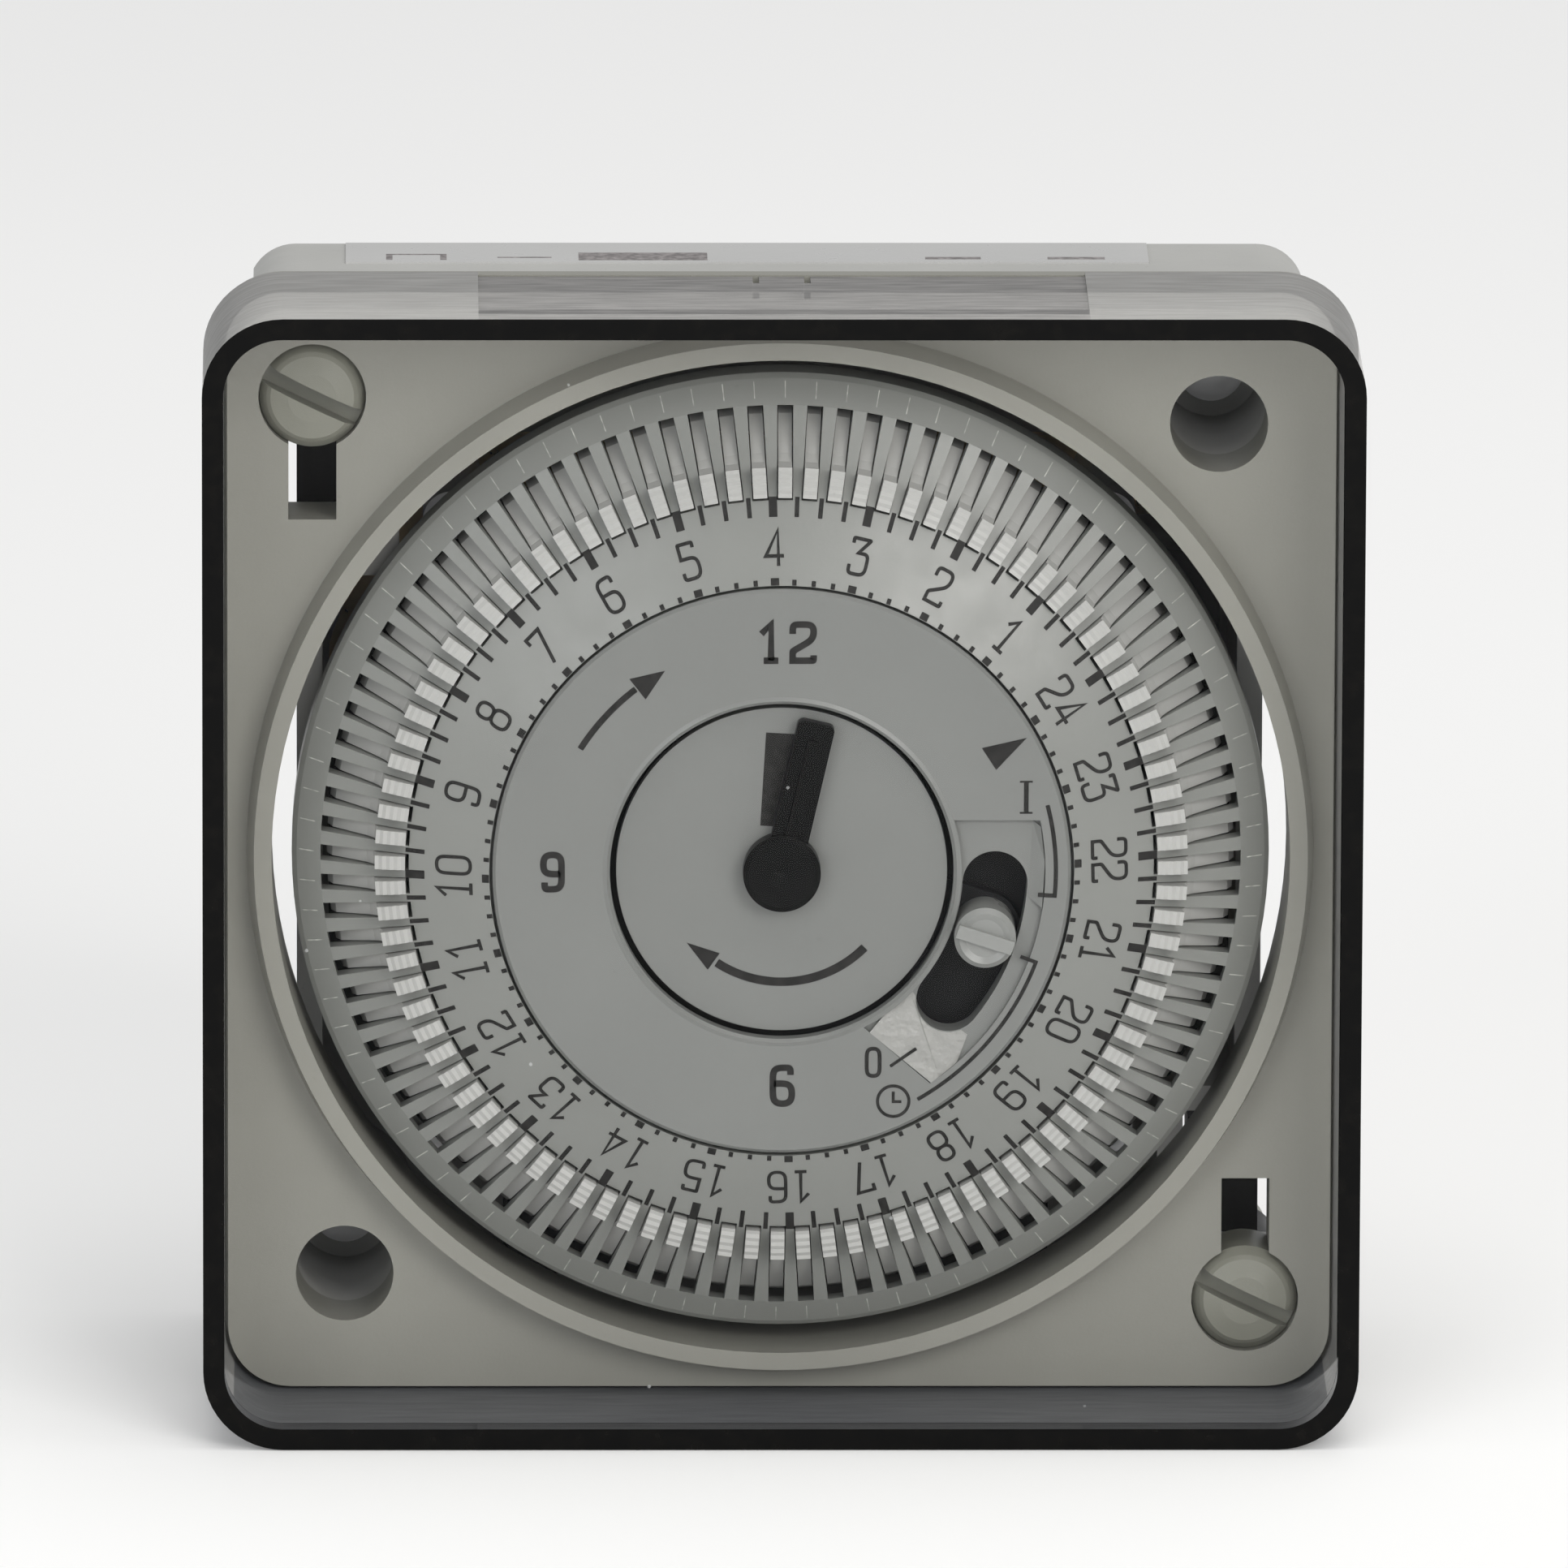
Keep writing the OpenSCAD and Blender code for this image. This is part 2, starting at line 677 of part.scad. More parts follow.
clear_hood();
front_housing();
rear_case();
rating_label();
case_screws();
fixing_screw_upper();
fixing_screw_lower();
clamp_claw_upper();
clamp_claw_lower();
fascia_disc();
dial_bearing();
movement_front_plate();
movement_back_plate();
plate_pillars();
programme_dial();
tappet_pivot_ring();
dial_ring_gear();
tappets_right();
tappets_lower_right();
tappets_lower_left();
tappets_left();
hour_disc();
hour_tube();
hour_wheel();
minute_pointer();
minute_arbor();
cannon_pinion();
drive_wheel();
minute_wheel();
hour_pinion_wheel();
transfer_pinion();
motion_arbor();
dial_idler();
idler_pin();
motor_can();
motor_cover();
motor_coil();
motor_rotor();
motor_pinion();
override_arm();
override_knob();
trip_plunger();
switch_body();
switch_lid();
contact_blade();
fixed_contacts();
terminal_block();
terminal_clamps();
tappet_01();
tappet_02();
tappet_03();
tappet_04();
tappet_05();
tappet_06();
tappet_07();
tappet_08();
tappet_09();
tappet_10();
tappet_11();
tappet_12();
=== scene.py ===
import json
import math

import bmesh
import bpy
from mathutils import Matrix, Vector


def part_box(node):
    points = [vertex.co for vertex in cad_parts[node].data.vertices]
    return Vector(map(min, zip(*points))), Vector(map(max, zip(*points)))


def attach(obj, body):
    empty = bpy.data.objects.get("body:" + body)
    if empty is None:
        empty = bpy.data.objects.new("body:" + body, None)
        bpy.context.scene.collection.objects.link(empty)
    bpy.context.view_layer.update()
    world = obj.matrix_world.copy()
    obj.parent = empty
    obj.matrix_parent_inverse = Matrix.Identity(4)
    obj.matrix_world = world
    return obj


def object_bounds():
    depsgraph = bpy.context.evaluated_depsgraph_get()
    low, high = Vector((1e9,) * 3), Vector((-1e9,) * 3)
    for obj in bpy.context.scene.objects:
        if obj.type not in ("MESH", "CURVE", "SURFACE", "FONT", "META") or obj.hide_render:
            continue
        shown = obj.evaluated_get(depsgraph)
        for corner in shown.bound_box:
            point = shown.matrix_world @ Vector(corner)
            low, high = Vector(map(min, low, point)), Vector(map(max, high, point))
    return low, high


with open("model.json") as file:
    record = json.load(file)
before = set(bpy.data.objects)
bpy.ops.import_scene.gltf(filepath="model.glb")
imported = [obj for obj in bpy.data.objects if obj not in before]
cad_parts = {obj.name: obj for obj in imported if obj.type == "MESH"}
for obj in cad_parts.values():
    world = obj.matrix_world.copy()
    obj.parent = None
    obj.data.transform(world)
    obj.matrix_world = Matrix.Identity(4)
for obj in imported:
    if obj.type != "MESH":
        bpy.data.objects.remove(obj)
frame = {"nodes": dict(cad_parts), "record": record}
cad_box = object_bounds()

MM = 0.001
FRONT = cad_box[0][1]
FLOOR = cad_box[0][2]
nodes = frame["nodes"]
scene = bpy.context.scene


def at(x, z, d):
    """A point from millimetres right, up and behind the front of the hood."""
    return Vector((x * MM, FRONT + d * MM, z * MM))


def polar(r, a):
    """Right and up for a radius and an angle clockwise from the top."""
    return (r * math.sin(math.radians(a)), r * math.cos(math.radians(a)))


# --- Materials ---------------------------------------------------------------

def graph(name):
    m = bpy.data.materials.new(name)
    m.use_nodes = True
    nt = m.node_tree
    nt.nodes.clear()
    out = nt.nodes.new("ShaderNodeOutputMaterial")
    bsdf = nt.nodes.new("ShaderNodeBsdfPrincipled")
    nt.links.new(bsdf.outputs[0], out.inputs[0])
    coord = nt.nodes.new("ShaderNodeTexCoord")
    return m, nt, bsdf, coord.outputs["Object"]


def noise(nt, vec, scale, detail=3.0, stretch=None):
    if stretch:
        mp = nt.nodes.new("ShaderNodeMapping")
        mp.inputs["Scale"].default_value = stretch
        nt.links.new(vec, mp.inputs["Vector"])
        vec = mp.outputs[0]
    n = nt.nodes.new("ShaderNodeTexNoise")
    n.inputs["Scale"].default_value = scale
    n.inputs["Detail"].default_value = detail
    nt.links.new(vec, n.inputs["Vector"])
    return n.outputs["Fac"]


def ramp(nt, fac, stops):
    r = nt.nodes.new("ShaderNodeValToRGB")
    while len(r.color_ramp.elements) < len(stops):
        r.color_ramp.elements.new(0.5)
    for e, (pos, col) in zip(r.color_ramp.elements, stops):
        e.position = pos
        e.color = (*col, 1) if len(col) == 3 else (col[0], col[0], col[0], 1)
    nt.links.new(fac, r.inputs[0])
    return r.outputs[0]


def bump(nt, bsdf, height, strength, distance):
    b = nt.nodes.new("ShaderNodeBump")
    b.inputs["Strength"].default_value = strength
    b.inputs["Distance"].default_value = distance
    nt.links.new(height, b.inputs["Height"])
    nt.links.new(b.outputs[0], bsdf.inputs["Normal"])
    return b


def math_node(nt, op, a, b=None, clamp=False):
    n = nt.nodes.new("ShaderNodeMath")
    n.operation = op
    n.use_clamp = clamp
    for i, v in enumerate((a, b)):
        if v is None:
            continue
        if isinstance(v, (int, float)):
            n.inputs[i].default_value = v
        else:
            nt.links.new(v, n.inputs[i])
    return n.outputs[0]


def mix_rgb(nt, fac, a, b, blend="MIX"):
    n = nt.nodes.new("ShaderNodeMix")
    n.data_type = "RGBA"
    n.blend_type = blend
    for socket, v in ((n.inputs[0], fac), (n.inputs[6], a), (n.inputs[7], b)):
        if isinstance(v, (int, float)):
            socket.default_value = v
        elif isinstance(v, tuple):
            socket.default_value = (*v, 1)
        else:
            nt.links.new(v, socket)
    return n.outputs[2]


def plastic(name, col, rough=0.42, vary=0.07, grain=0.25, peel=0.0, sheen=0.5):
    """Moulded plastic: cloudy colour, fine grain and a little mould peel."""
    m, nt, bsdf, vec = graph(name)
    cloud = noise(nt, vec, 90, 4)
    dark = tuple(c * (1 - vary) for c in col)
    light = tuple(min(1, c * (1 + vary)) for c in col)
    base = ramp(nt, cloud, [(0.3, dark), (0.7, light)])
    speck = ramp(nt, noise(nt, vec, 2600, 2), [(0.22, (0.86,)), (0.3, (1.0,))])
    nt.links.new(mix_rgb(nt, 1.0, base, speck, "MULTIPLY"), bsdf.inputs["Base Color"])
    fine = noise(nt, vec, 5200, 2)
    r = ramp(nt, noise(nt, vec, 420, 3), [(0.3, (rough - 0.05,)), (0.7, (rough + 0.07,))])
    nt.links.new(r, bsdf.inputs["Roughness"])
    bsdf.inputs["Specular IOR Level"].default_value = sheen
    height = fine
    if peel:
        height = math_node(nt, "ADD", math_node(nt, "MULTIPLY", noise(nt, vec, 1500, 1), peel), fine)
    bump(nt, bsdf, height, grain, 0.00004)
    return m


def metal(name, col, rough=0.35, brushed=(1, 40, 1)):
    m, nt, bsdf, vec = graph(name)
    streak = noise(nt, vec, 900, 3, brushed)
    dark = tuple(c * 0.82 for c in col)
    nt.links.new(ramp(nt, streak, [(0.3, dark), (0.7, col)]), bsdf.inputs["Base Color"])
    nt.links.new(ramp(nt, streak, [(0.3, (rough - 0.08,)), (0.7, (rough + 0.1,))]), bsdf.inputs["Roughness"])
    bsdf.inputs["Metallic"].default_value = 1.0
    bump(nt, bsdf, streak, 0.12, 0.00003)
    return m


def ink(name, col, rough=0.5):
    m, nt, bsdf, vec = graph(name)
    worn = noise(nt, vec, 2400, 3)
    light = tuple(c * 2.2 + 0.012 for c in col)
    nt.links.new(ramp(nt, worn, [(0.35, col), (0.75, light)]), bsdf.inputs["Base Color"])
    nt.links.new(ramp(nt, worn, [(0.3, (rough,)), (0.7, (rough + 0.15,))]), bsdf.inputs["Roughness"])
    bsdf.inputs["Specular IOR Level"].default_value = 0.25
    bump(nt, bsdf, worn, 0.15, 0.00002)
    return m


def hood_material():
    """Clear plastic: an end-on wall painted black for the dark reflection seen inside the clear wall, a
    clear pane and hazy sides.
    """
    m, nt, bsdf, vec = graph("hood_clear")
    sep = nt.nodes.new("ShaderNodeSeparateXYZ")
    nt.links.new(vec, sep.inputs[0])
    geo = nt.nodes.new("ShaderNodeNewGeometry")
    nrm = nt.nodes.new("ShaderNodeSeparateXYZ")
    nt.links.new(geo.outputs["Normal"], nrm.inputs[0])
    half, corner, wall = 36 * MM, 5 * MM, 1.32 * MM
    across = math_node(nt, "ABSOLUTE", sep.outputs[0])
    qx = math_node(nt, "SUBTRACT", across, half - corner)
    qz = math_node(nt, "SUBTRACT", math_node(nt, "ABSOLUTE", sep.outputs[2]), half - corner)
    px = math_node(nt, "MAXIMUM", qx, 0.0)
    pz = math_node(nt, "MAXIMUM", qz, 0.0)
    sq = math_node(nt, "ADD", math_node(nt, "MULTIPLY", px, px), math_node(nt, "MULTIPLY", pz, pz))
    dist = math_node(nt, "SUBTRACT", math_node(nt, "SQRT", sq), corner)
    inside = math_node(nt, "MINIMUM", math_node(nt, "MAXIMUM", qx, qz), 0.0)
    dist = math_node(nt, "ADD", dist, inside)
    in_wall = math_node(nt, "GREATER_THAN", dist, -wall)
    facing = math_node(nt, "GREATER_THAN", math_node(nt, "ABSOLUTE", nrm.outputs[1]), 0.4)
    rim = math_node(nt, "MULTIPLY", in_wall, facing)
    side = math_node(nt, "SUBTRACT", 1.0, facing)
    # Base colour: the rubbed middle of the top and bottom walls is a little darker
    haze = noise(nt, vec, 700, 5, (0.35, 3, 1))
    rubbed = math_node(nt, "LESS_THAN", across, 18.9 * MM)
    upright = math_node(nt, "GREATER_THAN", math_node(nt, "ABSOLUTE", nrm.outputs[2]), 0.9)
    rubbed = math_node(nt, "MULTIPLY", rubbed, upright)
    plain = ramp(nt, haze, [(0.3, (0.6, 0.595, 0.58)), (0.7, (0.64, 0.635, 0.62))])
    worn = ramp(nt, haze, [(0.35, (0.42, 0.415, 0.41)), (0.65, (0.54, 0.53, 0.52))])
    side_col = mix_rgb(nt, rubbed, plain, worn)
    # Painted shade: the lower wall, below 33 mm down, is given a darker colour for the shade it sits in near
    # the floor
    shaded = math_node(nt, "LESS_THAN", sep.outputs[2], -33 * MM)
    shade_col = ramp(nt, haze, [(0.3, (0.12, 0.125, 0.135)), (0.7, (0.15, 0.155, 0.165))])
    side_col = mix_rgb(nt, shaded, side_col, shade_col)
    # Painted reflection: the wall seen end-on is painted opaque black in place of the dark reflection
    # trapped inside the clear wall
    rim_dark_reflection_stops = [(0.45, (0.0015, 0.0015, 0.0015)), (0.8, (0.004, 0.0036, 0.003))]
    rim_dark_reflection_col = ramp(nt, noise(nt, vec, 900, 2), rim_dark_reflection_stops)
    col = mix_rgb(nt, rim, mix_rgb(nt, side, (0.93, 0.95, 0.96), side_col), rim_dark_reflection_col)
    nt.links.new(col, bsdf.inputs["Base Color"])
    # The pane is a weak mirror over a clear sheet, with a few specks of dust
    pane = math_node(nt, "SUBTRACT", facing, rim, True)
    nt.links.new(pane, bsdf.inputs["Metallic"])
    fres = nt.nodes.new("ShaderNodeFresnel")
    fres.inputs["IOR"].default_value = 1.5
    cells = nt.nodes.new("ShaderNodeTexVoronoi")
    cells.inputs["Scale"].default_value = 260
    nt.links.new(vec, cells.inputs["Vector"])
    speck = math_node(nt, "LESS_THAN", cells.outputs["Distance"], 0.03)
    sparse = math_node(nt, "GREATER_THAN", noise(nt, vec, 90, 2), 0.6)
    dust = math_node(nt, "MULTIPLY", math_node(nt, "MULTIPLY", speck, sparse), 0.25)
    clear = math_node(nt, "ADD", math_node(nt, "MULTIPLY", fres.outputs[0], 0.1), dust, True)
    hazy = ramp(nt, haze, [(0.3, (0.42,)), (0.75, (0.5,))])
    alpha = math_node(nt, "ADD", math_node(nt, "MULTIPLY", clear, pane), rim, True)
    # Painted shade: the shaded lower wall is also made less clear
    hazy = math_node(nt, "ADD", hazy, math_node(nt, "MULTIPLY", shaded, 0.2), True)
    alpha = math_node(nt, "ADD", alpha, math_node(nt, "MULTIPLY", hazy, side), True)
    nt.links.new(alpha, bsdf.inputs["Alpha"])
    rough = math_node(nt, "ADD", math_node(nt, "MULTIPLY", side, 0.22), 0.06)
    nt.links.new(rough, bsdf.inputs["Roughness"])
    bsdf.inputs["Specular IOR Level"].default_value = 0.1
    bump(nt, bsdf, noise(nt, vec, 260, 2), 0.02, 0.00002)
    return m


PLATE = plastic("plate_plastic", (0.235, 0.232, 0.205), 0.4, 0.035, 0.16)
CASE = plastic("case_plastic", (0.4, 0.4, 0.385), 0.46, 0.05, 0.22)
DIAL = plastic("dial_plastic", (0.215, 0.22, 0.207), 0.33, 0.03, 0.12, 1.2)
FASCIA = plastic("fascia_plastic", (0.176, 0.181, 0.173), 0.36, 0.03, 0.12)
TAPPET = plastic("tappet_plastic", (0.4, 0.4, 0.385), 0.4, 0.04, 0.15)
SCREW = plastic("screw_plastic", (0.22, 0.22, 0.185), 0.36, 0.06, 0.2)
KNOB = plastic("knob_plastic", (0.24, 0.245, 0.235), 0.3, 0.05, 0.15)
TEXTURED = plastic("textured_plastic", (0.3, 0.3, 0.285), 0.36, 0.12, 1.0, 6.0)
BLACK = plastic("black_plastic", (0.004, 0.004, 0.004), 0.34, 0.1, 0.2, 0, 0.08)
DARK = plastic("dark_plastic", (0.014, 0.014, 0.015), 0.45, 0.1, 0.25, 0, 0.12)
ACETAL = plastic("acetal", (0.62, 0.62, 0.58), 0.4, 0.04, 0.15)
COIL = plastic("coil_tape", (0.32, 0.13, 0.05), 0.4, 0.15, 0.5)
LABEL = plastic("label_film", (0.46, 0.46, 0.455), 0.3, 0.03, 0.05)
BRASS = metal("stamped_brass", (0.72, 0.56, 0.28), 0.34)
STEEL = metal("turned_steel", (0.6, 0.6, 0.61), 0.34)
COPPER = metal("contact_copper", (0.78, 0.48, 0.3), 0.3)
HOOD = hood_material()
INK = ink("printing_ink", (0.006, 0.0055, 0.005))
SCRIBE = ink("scribed_line", (0.3, 0.3, 0.28))
GREY_INK = ink("grey_ink", (0.14, 0.13, 0.13))

LOOKS = {
    "clear_plastic": HOOD, "housing_grey": PLATE, "case_grey": CASE, "label": LABEL, "steel": STEEL,
    "screw_grey": SCREW, "black_plastic": BLACK, "fascia_grey": FASCIA, "dark_plastic": DARK,
    "brass": BRASS, "dial_grey": DIAL, "tappet_white": TAPPET, "gear_plastic": ACETAL,
    "motor_steel": STEEL, "coil": COIL, "magnet": DARK, "knob_grey": KNOB, "contact": COPPER,
}


def dress(obj, mat):
    obj.data.materials.clear()
    obj.data.materials.append(mat)


for part in frame["record"]["subparts"]:
    dress(nodes[part["node"]], LOOKS[part["material_slot"]])


def soften(name, width, segments=2, angle=35):
    mod = nodes[name].modifiers.new("edge", "BEVEL")
    mod.width = width * MM
    mod.segments = segments
    mod.limit_method = "ANGLE"
    mod.angle_limit = math.radians(angle)
    mod.harden_normals = False


soften("clear_hood", 0.25, 3)
soften("front_housing", 0.14)
soften("rear_case", 0.15)
soften("override_knob", 0.12)
soften("minute_pointer", 0.1)


# --- Printed marks -----------------------------------------------------------

PRINT = 0.012       # half the thickness of a printed mark


def finish_piece(bm, name, mat, body):
    """Turns the built mesh into a piece that rides a body."""
    mesh = bpy.data.meshes.new(name)
    bm.to_mesh(mesh)
    bm.free()
    obj = bpy.data.objects.new(name, mesh)
    scene.collection.objects.link(obj)
    mesh.materials.append(mat)
    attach(obj, body)


def close_sides(bm, front, rear):
    """Joins two facing outlines of as many points."""
    for i in range(len(front)):
        j = (i + 1) % len(front)
        bm.faces.new((front[j], front[i], rear[i], rear[j]))


def solid(name, outlines, depth, mat, body):
    """Thin closed solids from flat outlines, in millimetres. Depth is a number or a rule."""
    rule = depth if callable(depth) else lambda x, z: depth
    bm = bmesh.new()
    for pts in outlines:
        area = sum(a[0] * b[1] - b[0] * a[1] for a, b in zip(pts, pts[1:] + pts[:1]))
        if area < 0:
            pts = pts[::-1]
        front = [bm.verts.new(at(x, z, rule(x, z) - PRINT)) for x, z in pts]
        back = [bm.verts.new(at(x, z, rule(x, z) + PRINT)) for x, z in pts]
        bm.faces.new(front)
        bm.faces.new(back[::-1])
        close_sides(bm, front, back)
    bmesh.ops.triangulate(bm, faces=[f for f in bm.faces if len(f.verts) > 4])
    finish_piece(bm, name, mat, body)


def rounded(pts, radius, closed=False, steps=5):
    """Rounds the corners of a line; radius is one number or one for each point."""
    out = []
    n = len(pts)
    for i, p in enumerate(pts):
        r = radius[i] if isinstance(radius, (list, tuple)) else radius
        if r == 0 or (not closed and i in (0, n - 1)):
            out.append(p)
            continue
        p = Vector(p)
        a = Vector(pts[i - 1]) - p
        b = Vector(pts[(i + 1) % n]) - p
        cut = min(r, a.length * 0.49, b.length * 0.49)
        a = p + a.normalized() * cut
        b = p + b.normalized() * cut
        for k in range(steps + 1):
            t = k / steps
            q = a * (1 - t) ** 2 + p * 2 * t * (1 - t) + b * t * t
            out.append((q.x, q.y))
    return out


def band(pts, w, closed=False):
    """Outlines, one for each piece, of a line of width w."""
    pts = [Vector(p) for p in pts]
    n = len(pts)
    left, right = [], []
    for i, p in enumerate(pts):
        before = pts[i - 1] if (closed or i) else None
        after = pts[(i + 1) % n] if (closed or i < n - 1) else None
        d0 = (p - before).normalized() if before is not None else (after - p).normalized()
        d1 = (after - p).normalized() if after is not None else d0
        t = (d0 + d1).normalized()
        side = Vector((-t.y, t.x))
        grow = 1 / max(0.5, side.dot(Vector((-d1.y, d1.x))))
        left.append(p + side * w / 2 * grow)
        right.append(p - side * w / 2 * grow)
    spans = n if closed else n - 1
    out = []
    for i in range(spans):
        j = (i + 1) % n
        out.append([tuple(v) for v in (left[i], left[j], right[j], right[i])])
    return out


W = 0.54
GLYPHS = {
    "0": [([(0, 0), (W, 0), (W, 1), (0, 1)], 0.26, True)],
    "1": [([(0.02, 0.74), (0.27, 1), (0.27, 0)], 0, False), ([(0.08, 0), (0.46, 0)], 0, False)],
    "2": [([(0, 0.74), (0, 1), (W, 1), (W, 0.6), (0, 0.26), (0, 0), (W, 0), (W, 0.15)],
           [0, 0.25, 0.25, 0.2, 0.04, 0.0, 0.04, 0], False)],
    "3": [([(0, 0.85), (0, 1), (W, 1), (0.22, 0.6), (W, 0.6), (W, 0), (0, 0), (0, 0.25)],
           [0, 0.04, 0.04, 0, 0.24, 0.24, 0.24, 0], False)],
    "4": [([(0.4, 0), (0.4, 1), (0, 0.28), (0.58, 0.28)], 0, False)],
    "5": [([(0.48, 0.85), (0.48, 1), (0.02, 1), (0.02, 0.58), (W, 0.58), (W, 0), (0, 0), (0, 0.2)],
           [0, 0.04, 0.02, 0.0, 0.24, 0.24, 0.24, 0], False)],
    "6": [([(0.5, 0.8), (0.5, 1), (0, 1), (0, 0), (W, 0), (W, 0.56), (0.02, 0.56)],
           [0, 0.22, 0.24, 0.26, 0.26, 0.26, 0], False)],
    "7": [([(0, 0.8), (0, 1), (W, 1), (0.2, 0)], 0, False)],
    "8": [([(0.03, 0.53), (W - 0.03, 0.53), (W - 0.03, 1), (0.03, 1)], 0.24, True),
          ([(0, 0), (W, 0), (W, 0.53), (0, 0.53)], 0.24, True)],
    "9": [([(0.04, 0.2), (0.04, 0), (W, 0), (W, 1), (0, 1), (0, 0.44), (W - 0.02, 0.44)],
           [0, 0.22, 0.24, 0.26, 0.26, 0.26, 0], False)],
}


def number(text, x, z, height, width, stroke, turn=0.0, gap=0.24):
    """Outlines of a number centred on a point, turned clockwise."""
    out = []
    adv = W * width + gap
    total = len(text) * W * width + (len(text) - 1) * gap
    c, s = math.cos(math.radians(turn)), math.sin(math.radians(turn))
    for i, ch in enumerate(text):
        for pts, r, closed in GLYPHS[ch]:
            line = []
            for u, v in rounded(pts, r, closed):
                u = (u * width + i * adv - total / 2) * height
                v = (v - 0.5) * height
                line.append((x + u * c + v * s, z - u * s + v * c))
            out += band(line, stroke, closed)
    return out


def tick(a, r0, r1, w):
    """A radial bar at an angle clockwise from the top."""
    u = Vector(polar(1, a))
    v = Vector((u.y, -u.x))
    return [tuple(u * r + v * s * w / 2) for r, s in ((r0, -1), (r1, -1), (r1, 1), (r0, 1))]


def arc(r, a0, a1, steps=24):
    return [polar(r, a0 + (a1 - a0) * i / steps) for i in range(steps + 1)]


SLOTS = 96
STEP = 360 / SLOTS
dial_turn = -1.5
fascia_d, disc_d = 4.2, 5.0
ring_in_r, ring_in_d = 18.2, 4.35
ring_out_r, ring_out_d = 23.45, 6.44
track_r, track_end, track_half = 13.3, 128.4, 2.1


def ring_depth(x, z):
    """Depth of the dial's sloping number ring."""
    slope = (ring_out_d - ring_in_d) / (ring_out_r - ring_in_r)
    return ring_in_d + (math.hypot(x, z) - ring_in_r) * slope


marks, figures = [], []
for q in range(SLOTS):
    a = dial_turn + q * STEP
    hour_tick = q % 4 == 0
    marks.append(tick(a, 22.23, 23.42, 0.53 if hour_tick else 0.28))
    marks.append(tick(a, 18.22, 18.66 if hour_tick else 18.57, 0.52 if hour_tick else 0.27))
for h in range(1, 25):
    a = dial_turn + 15 * (4 - h)
    x, z = polar(20.41, a)
    figures += number(str(h), x, z, 2.1, 0.93, 0.22, a, 0.2)
solid("dial_ticks", marks, ring_depth, INK, "dial")
solid("dial_numbers", figures, ring_depth, INK, "dial")

face = []
face += number("12", 0.28, 14.62, 2.3, 1.05, 0.42, 0, 0.3)
face += number("9", -14.27, 0, 2.2, 0.95, 0.42)
face += number("6", 0.08, -13.67, 2.3, 0.95, 0.42)
face += number("0", 5.73, -12.17, 1.75, 0.85, 0.25)
face += band([(15.18, 3.81), (15.18, 5.73)], 0.3)
face += band([(14.78, 5.76), (15.58, 5.76)], 0.12) + band([(14.78, 3.78), (15.58, 3.78)], 0.12)
face += band([(6.79, -12.43), (8.41, -11.29)], 0.2)
ring = [(6.99 + x, -14.66 + z) for x, z in arc(0.98, 0, 360, 32)[:-1]]
face += band(ring, 0.2, True)
face += band([(6.99, -14.04), (6.99, -14.69), (7.5, -14.69)], 0.19)
face += band(arc(17.05, 75.5, 95.1) + [(15.94, -1.45)], 0.27)
face += band([(14.87, -5.4)] + arc(16.85, 110, 149.7), 0.24)
face.append([(15.2, 8.56), (12.4, 7.91), (13.3, 6.51)])
face += band(arc(14.8, -58, -38), 0.4)
face.append([polar(14.76, -29.6), polar(15.55, -37.7), polar(13.9, -37.7)])
solid("fascia_marks", face, fascia_d, INK, "case")

disc = []
u0, u1 = Vector(polar(1, 3.3)), Vector(polar(1, 93.3))
disc.append([tuple(u0 * r + u1 * s) for r, s in ((2.7, -1.5), (8.65, -1.5), (8.65, 1.5), (2.7, 1.5))])
disc += band(arc(7.2, 134, 214), 0.55)
disc.append([polar(7.54, 231.5), polar(6.6, 215.5), polar(7.9, 215.5)])
solid("hour_disc_marks", disc, disc_d, INK, "hour")


def sloped(name, faces, mat, body):
    """Closed solids from front points (right, up, depth) dropped back to one depth each."""
    bm = bmesh.new()
    for pts, floor_d in faces:
        front = [bm.verts.new(at(*p)) for p in pts]
        rear = [bm.verts.new(at(p[0], p[1], floor_d)) for p in pts]
        bm.faces.new(front)
        bm.faces.new(rear[::-1])
        close_sides(bm, front, rear)
    bmesh.ops.recalc_face_normals(bm, faces=bm.faces)
    finish_piece(bm, name, mat, body)


# Scribed lines on the dial's rim, one beyond each slot
scribes = []
for q in range(SLOTS):
    pts = tick(dial_turn + (q + 0.5) * STEP, 29.1, 30.05, 0.06)
    d = (9.16, 9.82, 9.82, 9.16)
    scribes.append(([(x, z, d[i]) for i, (x, z) in enumerate(pts)], 9.95))
sloped("rim_scribes", scribes, SCRIBE, "dial")

# The textured slope that runs from the fascia's face down to the lower end of the override slot
face_d, recess_d = fascia_d, fascia_d + 0.43
slot_end = Vector(polar(track_r, track_end))
curve = [slot_end + Vector(polar(track_half, a)) for a in range(158, 281, 20)]
slope = [(5.5, -10.27, face_d), (10.2, -14.2, face_d), (11.6, -10.5, recess_d)]
slope += [(p.x, p.y, recess_d) for p in curve] + [(7.9, -7.4, recess_d)]
sloped("override_slope", [(slope, recess_d + 0.02)], TEXTURED, "case")
facet = [(16.1, 2.9, face_d), (16.36, 0.6, face_d), (16.2, -2.3, face_d), (15.35, -1.7, recess_d),
         (15.3, 1.2, recess_d), (15.6, 3.2, recess_d)]
sloped("override_facet", [(facet, recess_d + 0.02)], FASCIA, "case")

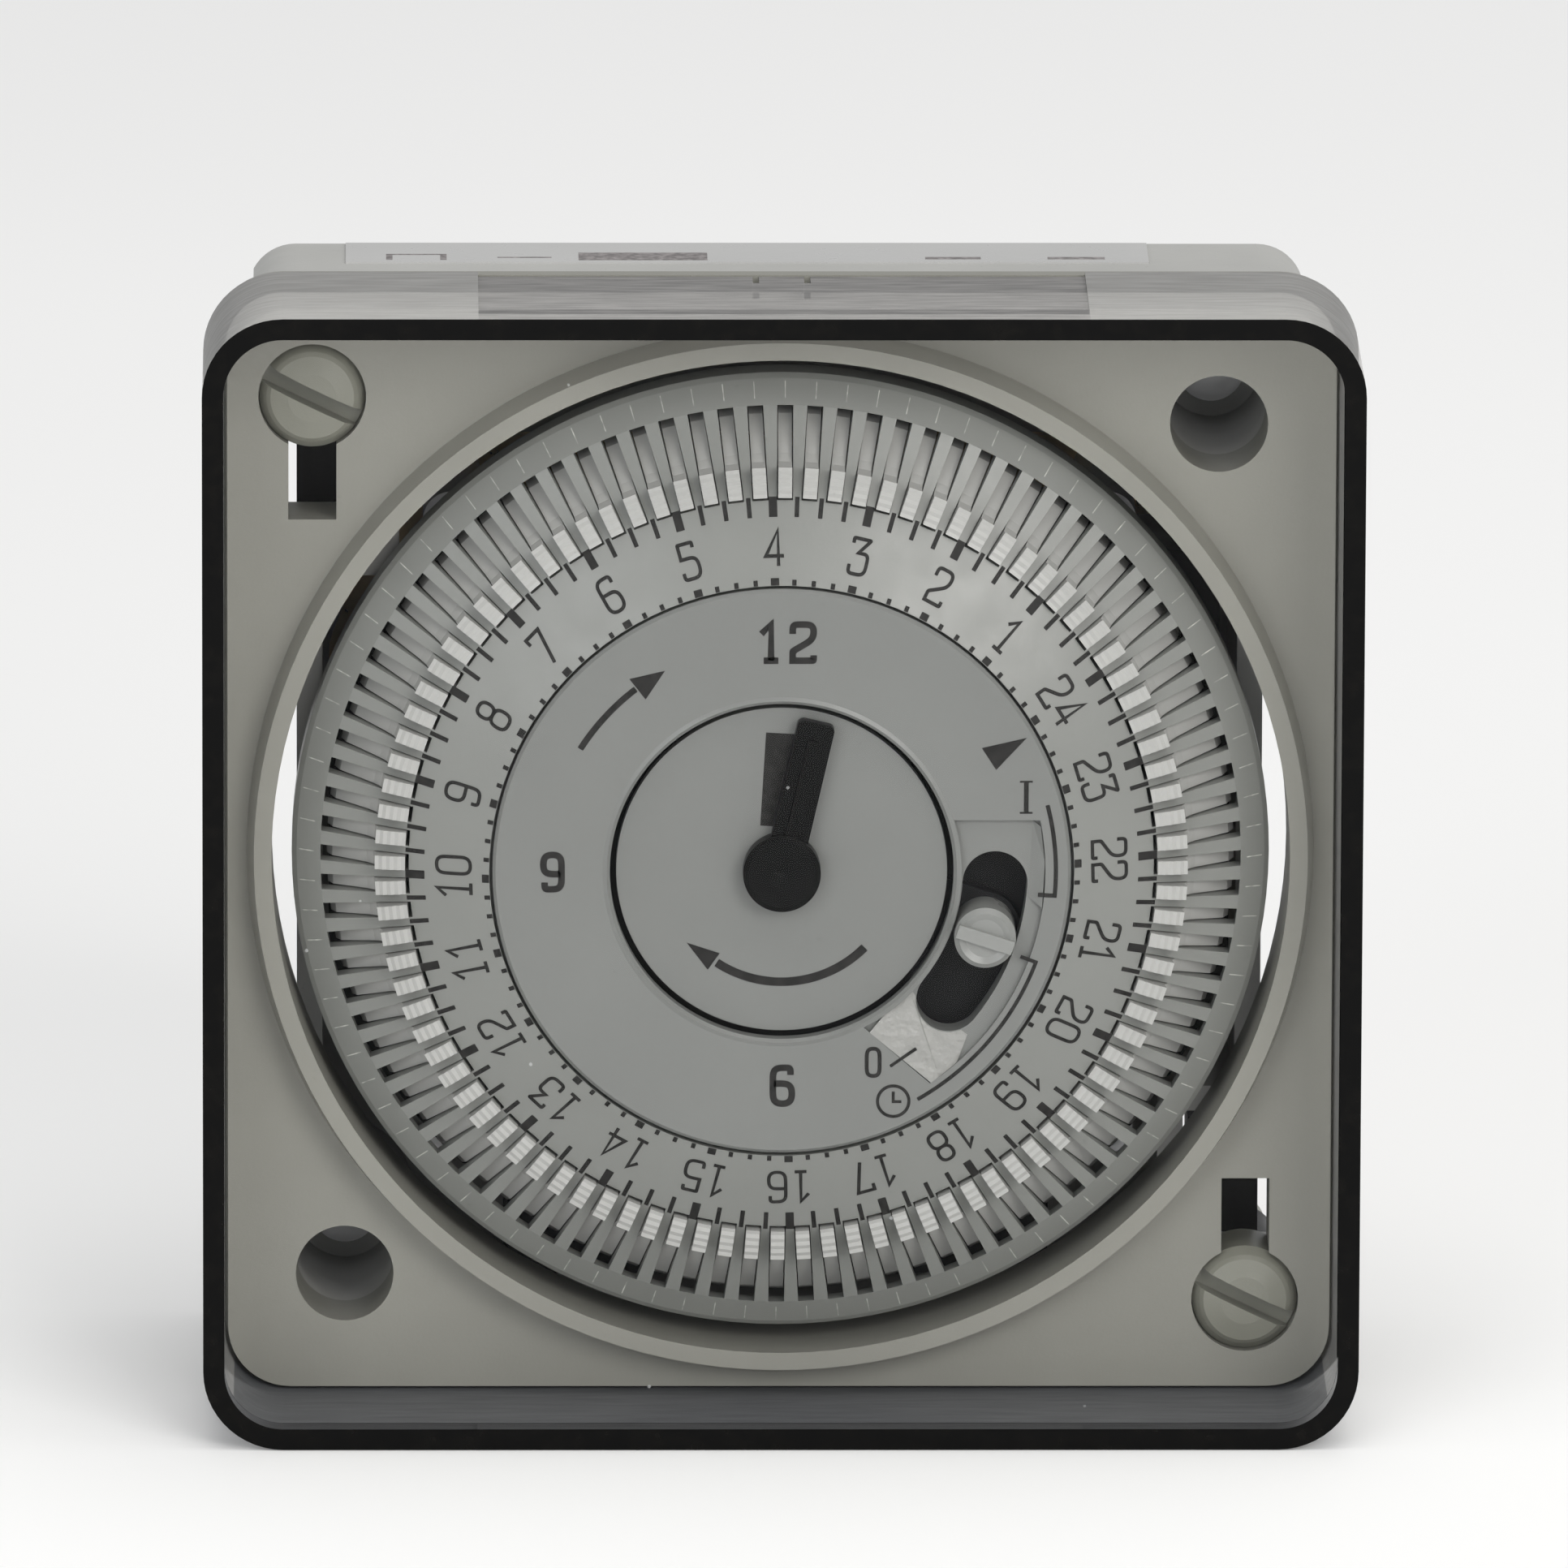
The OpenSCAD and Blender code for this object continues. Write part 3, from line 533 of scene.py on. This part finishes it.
# Plain blocks where the label is printed: left, right, front and back
bars = [
    (-12.5, -4.4, 30.3, 32.6), (-24.6, -20.8, 31.9, 32.2), (-24.6, -24.2, 30.4, 31.9),
    (-21.2, -20.8, 30.4, 31.9), (-17.6, -14.2, 31.0, 31.3), (9.3, 12.8, 30.6, 31.3),
    (17.0, 20.6, 30.6, 31.3),
]
label_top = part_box("rating_label")[1][2] / MM
bar_half = 0.01
bm = bmesh.new()
for x0, x1, d0, d1 in bars:
    corners = [(x0, d0), (x1, d0), (x1, d1), (x0, d1)]
    upper = [bm.verts.new(at(x, label_top + bar_half, d)) for x, d in corners]
    lower = [bm.verts.new(at(x, label_top - bar_half, d)) for x, d in corners]
    bm.faces.new(upper)
    bm.faces.new(lower[::-1])
    close_sides(bm, upper, lower)
bmesh.ops.recalc_face_normals(bm, faces=bm.faces)
finish_piece(bm, "label_bars", GREY_INK, "case")


# --- Camera, light and floor -------------------------------------------------

AZ, EL, REACH = math.radians(-0.9), math.radians(12.9), 1.6485
target = at(0.05, 6.58, 0)
back = Vector((math.sin(AZ) * math.cos(EL), -math.cos(AZ) * math.cos(EL), math.sin(EL)))
cam_data = bpy.data.cameras.new("camera")
cam_data.lens = 610.6
cam_data.sensor_width = 36
cam_data.clip_start = 0.05
cam_data.clip_end = 50
cam = bpy.data.objects.new("camera", cam_data)
scene.collection.objects.link(cam)
right = Vector((0, 0, 1)).cross(back).normalized()
up = back.cross(right)
ROLL = math.radians(0.2)
turned_right = right * math.cos(ROLL) + up * math.sin(ROLL)
turned_up = up * math.cos(ROLL) - right * math.sin(ROLL)
basis = Matrix((turned_right, turned_up, back)).transposed().to_4x4()
cam.matrix_world = Matrix.Translation(target + back * REACH) @ basis
scene.camera = cam


def floor_material():
    m, nt, bsdf, vec = graph("floor_pale")
    nt.links.new(ramp(nt, noise(nt, vec, 3, 2), [(0.3, (0.9, 0.9, 0.9)), (0.7, (0.94, 0.94, 0.94))]),
                 bsdf.inputs["Base Color"])
    bsdf.inputs["Roughness"].default_value = 0.9
    bsdf.inputs["Specular IOR Level"].default_value = 0.1
    return m


def flat(name, x0, x1, y0, y1, z, mat):
    mesh = bpy.data.meshes.new(name)
    mesh.from_pydata([(x0, y0, z), (x1, y0, z), (x1, y1, z), (x0, y1, z)], [], [(0, 1, 2, 3)])
    obj = bpy.data.objects.new(name, mesh)
    scene.collection.objects.link(obj)
    mesh.materials.append(mat)
    return obj


flat("floor", -6, 6, -6, 6, FLOOR - 0.00005, floor_material())


def area(name, loc, aim, size, power, col=(1, 1, 1)):
    data = bpy.data.lights.new(name, "AREA")
    data.shape = "RECTANGLE"
    data.size, data.size_y = size
    data.energy = power
    data.color = col
    obj = bpy.data.objects.new(name, data)
    scene.collection.objects.link(obj)
    obj.location = loc
    obj.rotation_euler = (Vector(aim) - Vector(loc)).to_track_quat("-Z", "Y").to_euler()
    return obj


world = bpy.data.worlds.new("studio")
world.use_nodes = True
world.node_tree.nodes["Background"].inputs[0].default_value = (0.97, 0.98, 1.0, 1)
world.node_tree.nodes["Background"].inputs[1].default_value = 0.45
scene.world = world
scene.view_settings.view_transform = "Standard"
area("top_box", (0.15, -0.15, 1.1), (0, 0, 0), (1.2, 1.0), 7, (1.0, 0.985, 0.95))
area("right_box", (0.75, -1.6, 0.75), (0, 0, 0), (0.9, 0.9), 17, (1.0, 0.985, 0.955))
area("left_box", (-0.8, -1.6, 0.55), (0, 0, 0), (0.9, 0.9), 8, (0.97, 0.99, 1.0))
